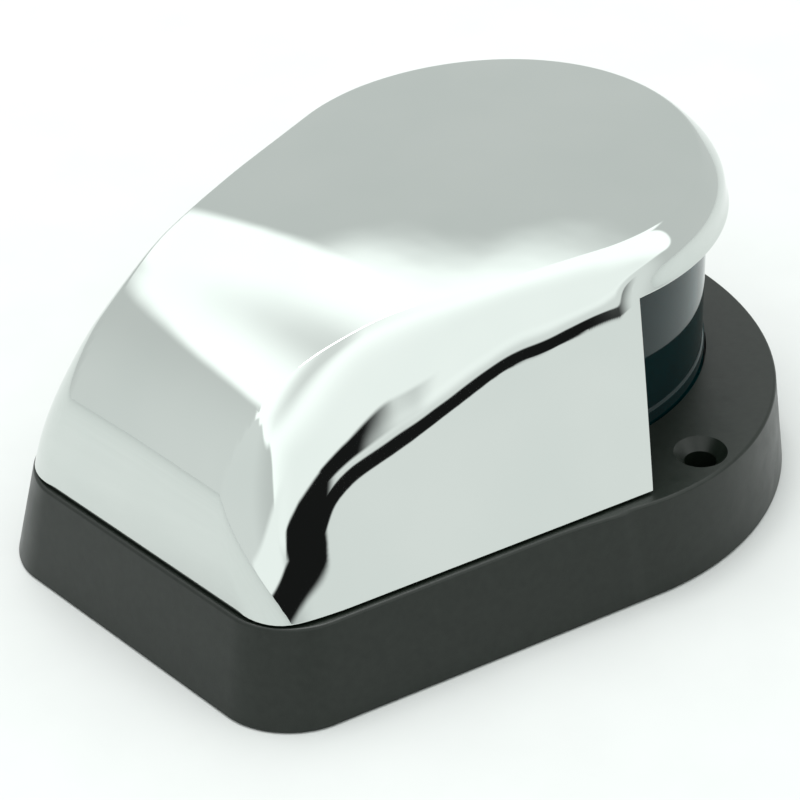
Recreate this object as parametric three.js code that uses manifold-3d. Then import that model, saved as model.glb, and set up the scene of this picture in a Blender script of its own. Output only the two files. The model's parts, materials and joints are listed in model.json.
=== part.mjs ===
// Bi-colour bow navigation light for flush deck mounting: a chromed hood over a red and green drum lens,
// on a black moulded base, with an upright festoon lamp inside.
// Millimetres. +X points to the bow, +Y to port, +Z up. The origin is on the deck, under the centre of the
// base's bounding box.
import * as THREE from "three";
import { mergeVertices } from "three/addons/utils/BufferGeometryUtils.js";
import Module from "manifold-3d";

const wasm = await Module();
wasm.setup();

// ---------------------------------------------------------------- driving dimensions

const GAP = 0.3; // between pieces that rest on each other
const FIT = 0.15; // radial play of a piece that sits in a hole
const SPARE = 1.0; // how far a cutting tool reaches past the face it cuts

// Base moulding. Its foot is a wide nose joined to a narrower square stern by straight sides.
const BASE_HEIGHT = 13.2;
const NOSE = { x: 11.3, alongX: 40.5, alongY: 44.5 };
const STERN = { x: -51.8, halfWidth: 28.4, corner: 8.1, sideSlope: 0.2772 };
const TOP_NOSE = { x: 13.0, alongX: 37.0, alongY: 42.8 };
const TOP_STERN = { x: -48.3, halfWidth: 26.3, corner: 7.6, sideSlope: 0.2735 };
const SIDES_END = { foot: 1.4, top: -2.4 }; // x where the straight sides run into the nose
const TOP_BLEND = 2.5; // radius-like size of the bend where the top's side runs into its nose
const TOP_EDGE = 0.4; // rounded top edge
const BASE_WALL = 3.0;
const BASE_ROOF = 2.5;
const CEILING = BASE_HEIGHT - BASE_ROOF; // underside of the base's roof

// Hood. Its walls lean inwards, its back falls in an ellipse-like curve, and its nose is a round visor.
const HOOD_FOOT = BASE_HEIGHT + GAP;
const HOOD_HEIGHT = 43.4;
const HOOD_WALL = 2.0;
const HOOD_LEAN = THREE.MathUtils.degToRad(22.2);
const HOOD_STERN_X = -47.6;
const HOOD_CREST_X = -15.0; // the back starts to fall here
const HOOD_BACK = { along: 2.25, up: 2.5 }; // exponents of the back's curve
const HOOD_SIDE = { x: 3.9, halfWidth: 39.8, slope: 0.2735 };
const CROWN_ACROSS = 0.0013; // fall of the roof per square millimetre off the centre line
// The rounded edge between side and roof: its rough reach down the side and over the roof, at stations.
const EDGE_STATIONS = [
  { x: HOOD_STERN_X, down: 5.0, over: 5.2 },
  { x: -38, down: 12.5, over: 3.0 },
  { x: -24, down: 20.0, over: 1.8 },
  { x: -6, down: 11.5, over: 1.2 },
  { x: 6, down: 9.0, over: 1.2 },
  { x: 20, down: 4.0, over: 1.3 },
];
const INNER_EDGE = 0.5; // the least rounding left inside the wall
const RIM_SWELL = { out: 0.6, startX: 4, fullX: 20 }; // the visor's band swells out of its straight lean
const DOME_CENTRE_X = -2.7; // the hood's skin is sampled along rays from this point on its foot
const VISOR_UNDERSIDE = 36.0;
const MOUTH = { foot: 3.9, lean: 0.28 }; // front edge of the side walls, and its forward lean

// Lens drum, on the lamp's axis.
const LAMP_X = 15.4;
const LENS = { foot: 29.3, waist: 29.0, top: 29.3, wall: 2.2, lip: 2.2 };
const LENS_SEAT = 1.6; // how deep the drum sits in the base
const GROOVE_FLOOR = BASE_HEIGHT - LENS_SEAT - 0.9;
const LENS_TOP = 36.5;
const LENS_ARC = THREE.MathUtils.degToRad(112.5); // each colour's sector, from dead ahead
const UPPER_SEAL = { inset: 4.4, width: 1.8, top: 38.8 };

// Fixings.
const DECK_SCREW = { x: 14.8, y: 38.2, head: 3.5, hole: 2.1, sink: 1.5, boss: 6.0 };
const COVER_SCREWS = [
  [-6, 21],
  [-6, -21],
  [-36, 14],
  [-36, -14],
];
const COVER_SCREW = { shank: 1.6, head: 3.0, headHeight: 2.0, boss: 3.6, length: 14 };
const COVER_SCREW_SEAT = { post: 4.8, foot: 3.0, headZ: 8.0, pilotTop: 23.0 };
const CARRIER_SCREWS = [9, -9];
const CARRIER_SCREW = { shank: 1.3, head: 2.6, headHeight: 1.6, length: 9, x: -2.6 };

// Lamp and its carrier.
const WELL = { radius: 11.0, wall: 1.5, floor: 5.0, floorThickness: 2.0 };
const BULB = { bottom: 8.0, length: 31.0, glass: 5.0, glassWall: 0.6, cap: 3.6, capLength: 6.0, tip: 1.2 };
const CARRIER = { back: 0.6, front: 3.0, top: 37.0, foot: 2.4, footBack: -6.0, footHalf: 14 };
const CONTACT = { thickness: 0.8, halfWidth: 3.2 };
const LOWER_RIVET_Z = 20;
const UPPER_RIVET_Z = 31;
const RIVET = { shank: 1.2, head: 2.4, headHeight: 0.9 };
const GROMMET = { x: -22, hole: 6.0, bore: 2.6, flange: 8.0, flangeHeight: 1.5 };
const TERMINAL = { thickness: 0.8, ring: 3.0, tail: 6.5, halfWidth: 1.2 };
const WIRE = 0.9; // radius over the insulation

// ---------------------------------------------------------------- solids and booleans

const clamp = THREE.MathUtils.clamp;

// A closed three.js geometry as a manifold-3d solid.
function solid(geometry) {
  const bare = geometry.clone();
  bare.deleteAttribute("normal");
  bare.deleteAttribute("uv");
  const merged = mergeVertices(bare, 1e-4);
  const vertProperties = merged.attributes.position.array;
  const triVerts = new Uint32Array(merged.index.array);
  return new wasm.Manifold(new wasm.Mesh({ numProp: 3, vertProperties, triVerts }));
}

// A manifold-3d solid as a three.js geometry.
function geometryOf(made) {
  const mesh = made.getMesh();
  const geometry = new THREE.BufferGeometry();
  const vertices = new Float32Array(mesh.numVert * 3);
  for (let i = 0; i < mesh.numVert; i++) {
    vertices.set(mesh.vertProperties.subarray(i * mesh.numProp, i * mesh.numProp + 3), i * 3);
  }
  geometry.setAttribute("position", new THREE.BufferAttribute(vertices, 3));
  geometry.setIndex(new THREE.BufferAttribute(new Uint32Array(mesh.triVerts), 1));
  geometry.computeVertexNormals();
  return geometry;
}

// A solid of revolution about a vertical axis at (x, y). The profile is [radius, z] pairs, anticlockwise.
function turned(profile, x = 0, y = 0, segments = 32) {
  const points = profile.map(([radius, z]) => new THREE.Vector2(radius, z));
  if (profile[0][0] > 0) points.push(points[0].clone());
  return solid(new THREE.LatheGeometry(points, segments).rotateX(Math.PI / 2).translate(x, y, 0));
}

function cylinder(radius, bottom, top, x = 0, y = 0, segments = 24) {
  return turned([[0, bottom], [radius, bottom], [radius, top], [0, top]], x, y, segments);
}

function tube(inner, outer, bottom, top, x = 0, y = 0, segments = 32) {
  return turned([[inner, bottom], [outer, bottom], [outer, top], [inner, top]], x, y, segments);
}

// A plan outline ([x, y] pairs) raised from bottom to top.
function prism(outline, bottom, top) {
  const shape = new THREE.Shape(outline.map(([x, y]) => new THREE.Vector2(x, y)));
  const options = { depth: top - bottom, bevelEnabled: false };
  return solid(new THREE.ExtrudeGeometry(shape, options).translate(0, 0, bottom));
}

// A side view outline ([x, z] pairs) spread across the boat from right to left.
function slab(outline, right, left) {
  const shape = new THREE.Shape(outline.map(([x, z]) => new THREE.Vector2(x, z)));
  const options = { depth: left - right, bevelEnabled: false };
  return solid(new THREE.ExtrudeGeometry(shape, options).rotateX(Math.PI / 2).translate(0, left, 0));
}

function box(lowX, highX, lowY, highY, lowZ, highZ) {
  return slab([[lowX, lowZ], [highX, lowZ], [highX, highZ], [lowX, highZ]], lowY, highY);
}

// A closed skin over rings of points, one ring above the other, with flat ends.
function lofted(rings) {
  const count = rings[0].length;
  const positions = rings.flat(2);
  const faces = [];
  for (let level = 0; level + 1 < rings.length; level++) {
    for (let i = 0; i < count; i++) {
      const a = level * count + i;
      const b = level * count + ((i + 1) % count);
      faces.push(a, b, b + count, a, b + count, a + count);
    }
  }
  const last = (rings.length - 1) * count;
  for (const [ring, start] of [[rings[0], 0], [rings[rings.length - 1], last]]) {
    const middle = positions.length / 3;
    const sum = ring.reduce((s, p) => [s[0] + p[0], s[1] + p[1], s[2] + p[2]], [0, 0, 0]);
    positions.push(sum[0] / count, sum[1] / count, sum[2] / count);
    for (let i = 0; i < count; i++) {
      const next = (i + 1) % count;
      faces.push(middle, start + (start ? i : next), start + (start ? next : i));
    }
  }
  const geometry = new THREE.BufferGeometry();
  geometry.setAttribute("position", new THREE.Float32BufferAttribute(positions, 3));
  geometry.setIndex(faces);
  return solid(geometry);
}

// The distance along a ray at which a field turns from negative (inside) to positive (outside).
function reach(field, limit) {
  let near = 0;
  let far = limit;
  for (let step = 0; step < 24; step++) {
    const middle = (near + far) / 2;
    if (field(middle) < 0) near = middle;
    else far = middle;
  }
  return (near + far) / 2;
}

// Where two faces meet, the corner between them is rounded by the given radius.
function roundedCorner(first, second, radius) {
  if (first > -radius && second > -radius) return Math.hypot(first + radius, second + radius) - radius;
  return Math.max(first, second);
}

// ---------------------------------------------------------------- base outline

// Signed distance, roughly, from the stern's outline: a square stern with sides that spread forwards.
function sternField(x, y, stern, frontX) {
  const slant = Math.atan(stern.sideSlope);
  const side = (Math.abs(y) - stern.halfWidth - (x - stern.x) * stern.sideSlope) * Math.cos(slant);
  return Math.max(roundedCorner(side, stern.x - x, stern.corner), x - frontX);
}

function noseField(x, y, nose) {
  return (Math.hypot((x - nose.x) / nose.alongX, y / nose.alongY) - 1) * nose.alongX;
}

function footField(x, y) {
  return Math.min(sternField(x, y, STERN, SIDES_END.foot), noseField(x, y, NOSE));
}

// The top's straight sides bend outwards into its nose.
function topField(x, y) {
  const stern = sternField(x, y, TOP_STERN, SIDES_END.top);
  const nose = noseField(x, y, TOP_NOSE);
  const overlap = Math.max(TOP_BLEND - Math.abs(stern - nose), 0);
  return Math.min(stern, nose) - (overlap * overlap) / (4 * TOP_BLEND);
}

// The angles at which outlines are sampled, closer together ahead and astern than abeam.
function outlineAngles(count) {
  const crowding = 0.22;
  const angles = [];
  for (let i = 0; i < count; i++) {
    const even = (i / count) * 2 * Math.PI;
    angles.push(even - crowding * Math.sin(2 * even));
  }
  return angles;
}

const BASE_ANGLES = outlineAngles(112);

// The base's outline at a height, moved inwards by inset.
function baseRing(z, inset = 0) {
  const share = clamp(z / BASE_HEIGHT, 0, 1);
  return BASE_ANGLES.map((angle) => {
    const [c, s] = [Math.cos(angle), Math.sin(angle)];
    const foot = reach((d) => footField(d * c, d * s) + inset, 90);
    const top = reach((d) => topField(d * c, d * s) + inset, 90);
    const radius = foot + (top - foot) * share;
    return [radius * c, radius * s, z];
  });
}

// ---------------------------------------------------------------- hood surface

// How far the rounded edge reaches down the side and over the roof at x. Between two stations both sizes
// change smoothly, and inside the wall they are smaller.
function edgeSizes(x, inset) {
  let { down, over } = EDGE_STATIONS[0];
  for (let i = 1; i < EDGE_STATIONS.length; i++) {
    const [here, ahead] = [EDGE_STATIONS[i - 1], EDGE_STATIONS[i]];
    const share = THREE.MathUtils.smoothstep(x, here.x, ahead.x);
    down += (ahead.down - here.down) * share;
    over += (ahead.over - here.over) * share;
  }
  return [Math.max(down - inset, INNER_EDGE), Math.max(over - inset, INNER_EDGE)];
}

// Where the side meets the roof, the corner is a quarter of an oval.
function ovalCorner(side, roof, [down, over]) {
  if (side <= -over || roof <= -down) return Math.max(side, roof);
  const [u, v] = [side / over + 1, roof / down + 1];
  const level = Math.hypot(u, v); // 1 on the skin; its slope turns it into a distance
  return ((level - 1) * level) / Math.hypot(u / over, v / down);
}

// Signed distance, roughly, from the hood's skin moved inwards by inset: the leaning side, the roof and
// back, and the rounded edge between them.
function hoodField(x, y, z, inset) {
  const across = Math.abs(y);
  const slant = Math.atan(HOOD_SIDE.slope);
  const sideReach = (HOOD_SIDE.halfWidth - HOOD_SIDE.x * HOOD_SIDE.slope) * Math.cos(slant);
  const noseRadius = sideReach + LAMP_X * Math.sin(slant);
  const ahead = (x - LAMP_X) * Math.cos(slant) + across * Math.sin(slant);
  const plan =
    ahead > 0
      ? Math.hypot(x - LAMP_X, y) - noseRadius
      : across * Math.cos(slant) - x * Math.sin(slant) - sideReach;
  const band = clamp((z - VISOR_UNDERSIDE) / (HOOD_HEIGHT - VISOR_UNDERSIDE), 0, 1);
  const bow = THREE.MathUtils.smoothstep(x, RIM_SWELL.startX, RIM_SWELL.fullX);
  const swell = RIM_SWELL.out * bow * Math.sin(Math.PI * band) ** 2;
  const side = (plan + (z - BASE_HEIGHT) * Math.tan(HOOD_LEAN) - swell) * Math.cos(HOOD_LEAN);

  const crown = CROWN_ACROSS * y * y;
  const fall = Math.max(HOOD_CREST_X - x, 0) / (HOOD_CREST_X - HOOD_STERN_X);
  const rise = Math.max(z + crown - BASE_HEIGHT, 1e-6) / (HOOD_HEIGHT - BASE_HEIGHT);
  const level = fall ** HOOD_BACK.along + rise ** HOOD_BACK.up;
  const steepness = Math.hypot(
    (HOOD_BACK.along * fall ** (HOOD_BACK.along - 1)) / (HOOD_CREST_X - HOOD_STERN_X),
    (HOOD_BACK.up * rise ** (HOOD_BACK.up - 1)) / (HOOD_HEIGHT - BASE_HEIGHT),
  );
  // Deep inside, where the steepness fades away, any distance well below the skin will do.
  const roof = level < 0.15 ? -30 : (level - 1) / steepness;
  return ovalCorner(side + inset, roof + inset, edgeSizes(x, inset));
}

// The hood's skin moved inwards by inset, as a solid dome that goes down to the given height.
function dome(inset, around, rise, bottom) {
  const middle = [DOME_CENTRE_X, 0, HOOD_FOOT];
  const cast = (azimuth, elevation) => {
    const direction = [
      Math.cos(azimuth) * Math.cos(elevation),
      Math.sin(azimuth) * Math.cos(elevation),
      Math.sin(elevation),
    ];
    const at = (d) => middle.map((m, i) => m + d * direction[i]);
    return at(reach((d) => hoodField(...at(d), inset), 110));
  };
  const rings = [];
  for (let level = 0; level < rise; level++) {
    const elevation = (Math.PI / 2) * (level / rise);
    rings.push(outlineAngles(around).map((azimuth) => cast(azimuth, elevation)));
  }
  if (bottom < HOOD_FOOT) rings.unshift(rings[0].map(([x, y]) => [x, y, bottom]));
  const crest = cast(0, Math.PI / 2);
  const small = 0.01; // the top closes in a ring this share of the foot's size
  rings.push(rings[0].map(([x, y]) => [crest[0] + x * small, crest[1] + y * small, crest[2]]));
  return lofted(rings);
}

// ---------------------------------------------------------------- moulded and pressed pieces

function makeBase() {
  let base = lofted([
    baseRing(0),
    baseRing(BASE_HEIGHT - TOP_EDGE),
    baseRing(BASE_HEIGHT - TOP_EDGE * 0.3, TOP_EDGE * 0.3),
    baseRing(BASE_HEIGHT, TOP_EDGE),
  ]);
  base = base.subtract(lofted([baseRing(-SPARE, BASE_WALL), baseRing(CEILING, BASE_WALL)]));
  for (const side of [1, -1]) {
    const post = cylinder(DECK_SCREW.boss, 0, CEILING + SPARE, DECK_SCREW.x, side * DECK_SCREW.y);
    base = base.add(post.intersect(lofted([baseRing(0, 1), baseRing(BASE_HEIGHT - 1, 1)])));
  }
  for (const [x, y] of COVER_SCREWS) {
    base = base.add(cylinder(COVER_SCREW_SEAT.post, COVER_SCREW_SEAT.foot, CEILING + SPARE, x, y));
  }
  const wellOuter = WELL.radius + WELL.wall;
  base = base.add(cylinder(wellOuter, WELL.floor - WELL.floorThickness, CEILING + SPARE, LAMP_X, 0, 40));
  base = base.subtract(cylinder(WELL.radius, WELL.floor, BASE_HEIGHT + SPARE, LAMP_X, 0, 40));
  const [grooveInner, grooveOuter] = [LENS.foot - LENS.wall - 0.4, LENS.foot + 0.25];
  const rib = WELL.wall;
  base = base.add(drumArc(GROOVE_FLOOR - 2, CEILING + SPARE, grooveInner - rib, grooveOuter + rib));
  return base
    .subtract(drumArc(GROOVE_FLOOR, BASE_HEIGHT + SPARE, grooveInner, grooveOuter))
    .subtract(deckScrewHoles())
    .subtract(coverScrewHoles())
    .subtract(carrierScrewHoles())
    .subtract(cylinder(GROMMET.hole, CEILING - SPARE, BASE_HEIGHT + SPARE, GROMMET.x, 0, 32));
}

function joined(solids) {
  return solids.reduce((all, one) => all.add(one));
}

function deckScrewHoles() {
  const profile = [
    [0, -SPARE],
    [DECK_SCREW.hole, -SPARE],
    [DECK_SCREW.hole, BASE_HEIGHT - DECK_SCREW.sink],
    [DECK_SCREW.head, BASE_HEIGHT],
    [DECK_SCREW.head, BASE_HEIGHT + SPARE],
    [0, BASE_HEIGHT + SPARE],
  ];
  return joined([1, -1].map((side) => turned(profile, DECK_SCREW.x, side * DECK_SCREW.y, 40)));
}

// A hole for each cover screw, with a counterbore for its head in the underside.
function coverScrewHoles() {
  return joined(
    COVER_SCREWS.flatMap(([x, y]) => [
      cylinder(COVER_SCREW.shank + FIT, COVER_SCREW_SEAT.foot - SPARE, BASE_HEIGHT + SPARE, x, y),
      cylinder(COVER_SCREW.head + 2 * FIT, COVER_SCREW_SEAT.foot - SPARE, COVER_SCREW_SEAT.headZ, x, y),
    ]),
  );
}

function carrierScrewHoles() {
  const radius = CARRIER_SCREW.shank + FIT;
  return joined(
    CARRIER_SCREWS.map((y) => cylinder(radius, CEILING - SPARE, BASE_HEIGHT + SPARE, CARRIER_SCREW.x, y)),
  );
}

function makeCover() {
  const outer = dome(0, 96, 28, HOOD_FOOT);
  const inner = dome(HOOD_WALL, 60, 14, HOOD_FOOT - SPARE);
  const mouthTop = MOUTH.foot + (VISOR_UNDERSIDE - HOOD_FOOT) * MOUTH.lean;
  const mouth = slab(
    [
      [MOUTH.foot - MOUTH.lean * SPARE, HOOD_FOOT - SPARE],
      [80, HOOD_FOOT - SPARE],
      [80, VISOR_UNDERSIDE],
      [mouthTop, VISOR_UNDERSIDE],
    ],
    -60,
    60,
  );
  const posts = joined(COVER_SCREWS.map(([x, y]) => cylinder(COVER_SCREW.boss, HOOD_FOOT, 60, x, y)));
  const pilots = joined(
    COVER_SCREWS.map(([x, y]) =>
      cylinder(COVER_SCREW.shank + FIT, HOOD_FOOT - SPARE, COVER_SCREW_SEAT.pilotTop, x, y),
    ),
  );
  return outer.subtract(inner).subtract(mouth).add(posts.intersect(outer)).subtract(pilots);
}

// One half of the drum lens, between the centre line and its sector's end.
function makeLens(side) {
  const bottom = BASE_HEIGHT - LENS_SEAT;
  const lipTop = BASE_HEIGHT + LENS.lip;
  const inner = LENS.foot - LENS.wall;
  const drum = turned(
    [
      [inner, bottom],
      [LENS.foot, bottom],
      [LENS.foot, lipTop - 0.3],
      [LENS.waist, lipTop],
      [LENS.top, LENS_TOP],
      [inner, LENS_TOP],
    ],
    LAMP_X,
    0,
    144,
  );
  const far = 60;
  const joint = (side * GAP) / 2;
  const sector = [[LAMP_X, joint]];
  for (const share of [0, 0.25, 0.5, 0.75, 1]) {
    const angle = side * share * LENS_ARC;
    sector.push([LAMP_X + far * Math.cos(angle), joint + far * Math.sin(angle)]);
  }
  if (side < 0) sector.reverse();
  return drum.intersect(prism(sector, 0, 50));
}

// A ring about the lamp's axis, cut to the sweep of the two lens halves.
function drumArc(bottom, top, inner, outer) {
  const behind = LAMP_X + outer * Math.cos(LENS_ARC);
  return tube(inner, outer, bottom, top, LAMP_X, 0, 96).subtract(
    box(behind - 40, behind, -60, 60, bottom - SPARE, top + SPARE),
  );
}

// The carrier closes the hood's mouth behind the lamp, and its foot is screwed to the base.
function makeCarrier() {
  const bottom = HOOD_FOOT;
  const plate = box(CARRIER.back, CARRIER.front, -50, 50, bottom, CARRIER.top);
  const foot = box(
    CARRIER.footBack, CARRIER.back + 1, -CARRIER.footHalf, CARRIER.footHalf, bottom, bottom + CARRIER.foot,
  );
  const inside = dome(HOOD_WALL + 2 * GAP, 72, 18, HOOD_FOOT - SPARE);
  const bracket = plate.intersect(inside).add(foot);
  const holes = CARRIER_SCREWS.map((y) => cylinder(CARRIER_SCREW.shank + FIT, 10, 20, CARRIER_SCREW.x, y));
  for (const z of [LOWER_RIVET_Z, UPPER_RIVET_Z]) holes.push(crossways(RIVET.shank + FIT, -3, 6, z));
  return bracket.subtract(joined(holes));
}

// A round bar along X, on the centre line.
function crossways(radius, back, front, z) {
  const bar = new THREE.CylinderGeometry(radius, radius, front - back, 20);
  return solid(bar.rotateZ(Math.PI / 2).translate((back + front) / 2, 0, z));
}

// The screen that keeps each colour on its own side.
function makeScreen() {
  const front = LAMP_X + LENS.foot - LENS.wall - GAP;
  const back = LAMP_X + BULB.glass + 1.5;
  return box(back, front, -0.6, 0.6, BASE_HEIGHT + GAP, LENS_TOP - GAP);
}

// ---------------------------------------------------------------- lamp

function makeGlass() {
  const bottom = BULB.bottom + BULB.capLength - 2;
  const top = BULB.bottom + BULB.length - BULB.capLength + 2;
  const neck = BULB.cap - 0.8;
  const wall = BULB.glassWall;
  return turned(
    [
      [neck - wall, bottom],
      [neck, bottom],
      [neck, bottom + 2.2],
      [BULB.glass, bottom + 4.5],
      [BULB.glass, top - 4.5],
      [neck, top - 2.2],
      [neck, top],
      [neck - wall, top],
      [neck - wall, top - 2.4],
      [BULB.glass - wall, top - 4.8],
      [BULB.glass - wall, bottom + 4.8],
      [neck - wall, bottom + 2.4],
    ],
    LAMP_X,
    0,
    32,
  );
}

// A pointed metal cap, open towards the glass. Direction is +1 for the lower cap and -1 for the upper one.
function makeCap(tipZ, direction) {
  const profile = [
    [0, 0],
    [BULB.tip, 0.4],
    [BULB.cap, 2.2],
    [BULB.cap, BULB.capLength],
    [BULB.cap - 0.5, BULB.capLength],
    [BULB.cap - 0.5, 3.2],
    [0, 3.2],
  ];
  const placed = profile.map(([radius, z]) => [radius, tipZ + direction * z]);
  if (direction < 0) placed.reverse();
  return turned(placed, LAMP_X, 0, 32);
}

function makeFilament() {
  return cylinder(0.3, BULB.bottom + 3.5, BULB.bottom + BULB.length - 3.5, LAMP_X, 0, 12);
}

// A bent spring strip: a side view path given a thickness.
function strip(path) {
  const half = CONTACT.thickness / 2;
  const normals = path.map((point, i) => {
    const before = path[Math.max(i - 1, 0)];
    const after = path[Math.min(i + 1, path.length - 1)];
    const along = [after[0] - before[0], after[1] - before[1]];
    const length = Math.hypot(...along);
    return [(-along[1] / length) * half, (along[0] / length) * half];
  });
  const left = path.map((p, i) => [p[0] + normals[i][0], p[1] + normals[i][1]]);
  const right = path.map((p, i) => [p[0] - normals[i][0], p[1] - normals[i][1]]);
  return slab([...right, ...left.reverse()], -CONTACT.halfWidth, CONTACT.halfWidth);
}

// A contact stands on the carrier's front face, is riveted there, and reaches out to a cap's tip.
function makeContact(rivetZ, tipZ, direction) {
  const face = CARRIER.front + GAP + CONTACT.thickness / 2;
  const under = tipZ - direction * (CONTACT.thickness / 2 + GAP);
  const made = strip([
    [face, rivetZ + direction * 3.5],
    [face, rivetZ - direction * 4.5],
    [face + 2.2, rivetZ - direction * 6.5],
    [face + 3.4, under + direction * 2.0],
    [face + 5.4, under],
    [LAMP_X + 3.5, under],
  ]);
  return made.subtract(crossways(RIVET.shank + FIT, -3, 8, rivetZ));
}

// The rivet holds the contact and, behind the carrier, the lead's ring terminal.
function makeRivet(z) {
  const back = CARRIER.back - GAP - TERMINAL.thickness - GAP;
  const front = CARRIER.front + GAP + CONTACT.thickness + GAP;
  return joined([
    crossways(RIVET.shank, back - 0.5, front + 0.5, z),
    crossways(RIVET.head, back - RIVET.headHeight, back, z),
    crossways(RIVET.head, front, front + RIVET.headHeight, z),
  ]);
}

// A ring terminal with a crimped barrel that points to one side.
function makeTerminal(z, side) {
  const back = CARRIER.back - GAP - TERMINAL.thickness;
  const front = CARRIER.back - GAP;
  const ring = crossways(TERMINAL.ring, back, front, z);
  const ends = [side * 2, side * TERMINAL.tail].sort((a, b) => a - b);
  const tail = box(back, front, ends[0], ends[1], z - TERMINAL.halfWidth, z + TERMINAL.halfWidth);
  return ring.add(tail).subtract(crossways(RIVET.shank + FIT, back - 1, front + 1, z));
}

// A lead runs from its terminal's end, behind the carrier, down to the grommet and through it.
function makeLead(z, side) {
  const x = CARRIER.back - GAP - WIRE;
  const route = new THREE.CatmullRomCurve3([
    new THREE.Vector3(x, side * (TERMINAL.tail + GAP), z),
    new THREE.Vector3(x, side * (TERMINAL.tail + 1.5), z),
    new THREE.Vector3(x - 3, side * (TERMINAL.tail + 3), z - 1),
    new THREE.Vector3(-12, side * 7, 20),
    new THREE.Vector3(GROMMET.x + 1.5, side * 2.2, 18.5),
    new THREE.Vector3(GROMMET.x, side * (WIRE + 0.2), 14.5),
    new THREE.Vector3(GROMMET.x, side * (WIRE + 0.2), 8),
    new THREE.Vector3(GROMMET.x, side * (WIRE + 0.2), 2),
  ]);
  const section = new THREE.Shape().absarc(0, 0, WIRE, 0, 2 * Math.PI);
  const options = { steps: 30, extrudePath: route, bevelEnabled: false, curveSegments: 4 };
  return solid(new THREE.ExtrudeGeometry(section, options));
}

function makeGrommet() {
  const inner = GROMMET.bore;
  const hole = GROMMET.hole - FIT;
  const roofTop = BASE_HEIGHT + GAP;
  const roofBottom = BASE_HEIGHT - BASE_ROOF - GAP;
  return turned(
    [
      [inner, roofBottom - GROMMET.flangeHeight],
      [GROMMET.flange, roofBottom - GROMMET.flangeHeight],
      [GROMMET.flange, roofBottom],
      [hole, roofBottom],
      [hole, roofTop],
      [GROMMET.flange, roofTop],
      [GROMMET.flange, roofTop + GROMMET.flangeHeight],
      [inner, roofTop + GROMMET.flangeHeight],
    ],
    GROMMET.x,
    0,
    32,
  );
}

// ---------------------------------------------------------------- fasteners

// A pan-head screw that points up or down (direction +1 or -1) from the underside of its head.
function makeScrew(screw, x, y, headZ, direction) {
  const profile = [
    [0, -screw.headHeight],
    [screw.head * 0.8, -screw.headHeight],
    [screw.head, -screw.headHeight * 0.4],
    [screw.head, 0],
    [screw.shank, 0],
    [screw.shank, screw.length - 1.5],
    [0, screw.length],
  ];
  const placed = profile.map(([radius, z]) => [radius, headZ + direction * z]);
  if (direction < 0) placed.reverse();
  const slotBottom = headZ - direction * screw.headHeight * 0.45;
  const slotTop = headZ - direction * (screw.headHeight + 1);
  const [low, high] = [slotBottom, slotTop].sort((a, b) => a - b);
  const arm = screw.head * 0.55;
  const recess = box(x - arm, x + arm, y - 0.35, y + 0.35, low, high).add(
    box(x - 0.35, x + 0.35, y - arm, y + arm, low, high),
  );
  return turned(placed, x, y, 24).subtract(recess);
}

// ---------------------------------------------------------------- finishes

const FINISH = {
  chrome: { color: 0xd1d5d2, roughness: 0.04, metalness: 1 },
  base: { color: 0x14171a, roughness: 0.42, metalness: 0 },
  green: { color: 0x0b3d40, roughness: 0.08, metalness: 0 },
  red: { color: 0x6d0d12, roughness: 0.08, metalness: 0 },
  rubber: { color: 0x1d1d1d, roughness: 0.85, metalness: 0 },
  carrier: { color: 0x383a3c, roughness: 0.5, metalness: 0 },
  screen: { color: 0x111111, roughness: 0.7, metalness: 0 },
  brass: { color: 0xb8924a, roughness: 0.3, metalness: 1 },
  steel: { color: 0xa9adb0, roughness: 0.3, metalness: 1 },
  glass: { color: 0xdfe6e8, roughness: 0.05, metalness: 0 },
  redWire: { color: 0x9c1c1c, roughness: 0.6, metalness: 0 },
  blackWire: { color: 0x1a1a1a, roughness: 0.6, metalness: 0 },
};

const light = new THREE.Group();

function place(name, finish, made) {
  const mesh = new THREE.Mesh(geometryOf(made), new THREE.MeshStandardMaterial(FINISH[finish]));
  mesh.name = name;
  light.add(mesh);
}

// ---------------------------------------------------------------- assembly

place("base", "base", makeBase());
place("cover", "chrome", makeCover());
place("lens_green", "green", makeLens(-1));
place("lens_red", "red", makeLens(1));

const grooveSeal = [LENS.foot - LENS.wall - 0.2, LENS.foot + 0.05];
place("lens_lower_seal", "rubber", drumArc(GROOVE_FLOOR + 0.1, BASE_HEIGHT - LENS_SEAT - 0.1, ...grooveSeal));
const upperSeal = [LENS.foot - UPPER_SEAL.inset, LENS.foot - UPPER_SEAL.inset + UPPER_SEAL.width];
place("lens_upper_seal", "rubber", drumArc(LENS_TOP + 0.1, UPPER_SEAL.top, ...upperSeal));

place("bulb_carrier", "carrier", makeCarrier());
place("colour_screen", "screen", makeScreen());
place("bulb_glass", "glass", makeGlass());
place("bulb_lower_cap", "brass", makeCap(BULB.bottom, 1));
place("bulb_upper_cap", "brass", makeCap(BULB.bottom + BULB.length, -1));
place("bulb_filament", "steel", makeFilament());
place("lower_contact", "brass", makeContact(LOWER_RIVET_Z, BULB.bottom, 1));
place("upper_contact", "brass", makeContact(UPPER_RIVET_Z, BULB.bottom + BULB.length, -1));
place("lower_rivet", "steel", makeRivet(LOWER_RIVET_Z));
place("upper_rivet", "steel", makeRivet(UPPER_RIVET_Z));
place("negative_terminal", "brass", makeTerminal(LOWER_RIVET_Z, -1));
place("positive_terminal", "brass", makeTerminal(UPPER_RIVET_Z, 1));
place("negative_lead", "blackWire", makeLead(LOWER_RIVET_Z, -1));
place("positive_lead", "redWire", makeLead(UPPER_RIVET_Z, 1));
place("lead_grommet", "rubber", makeGrommet());

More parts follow.
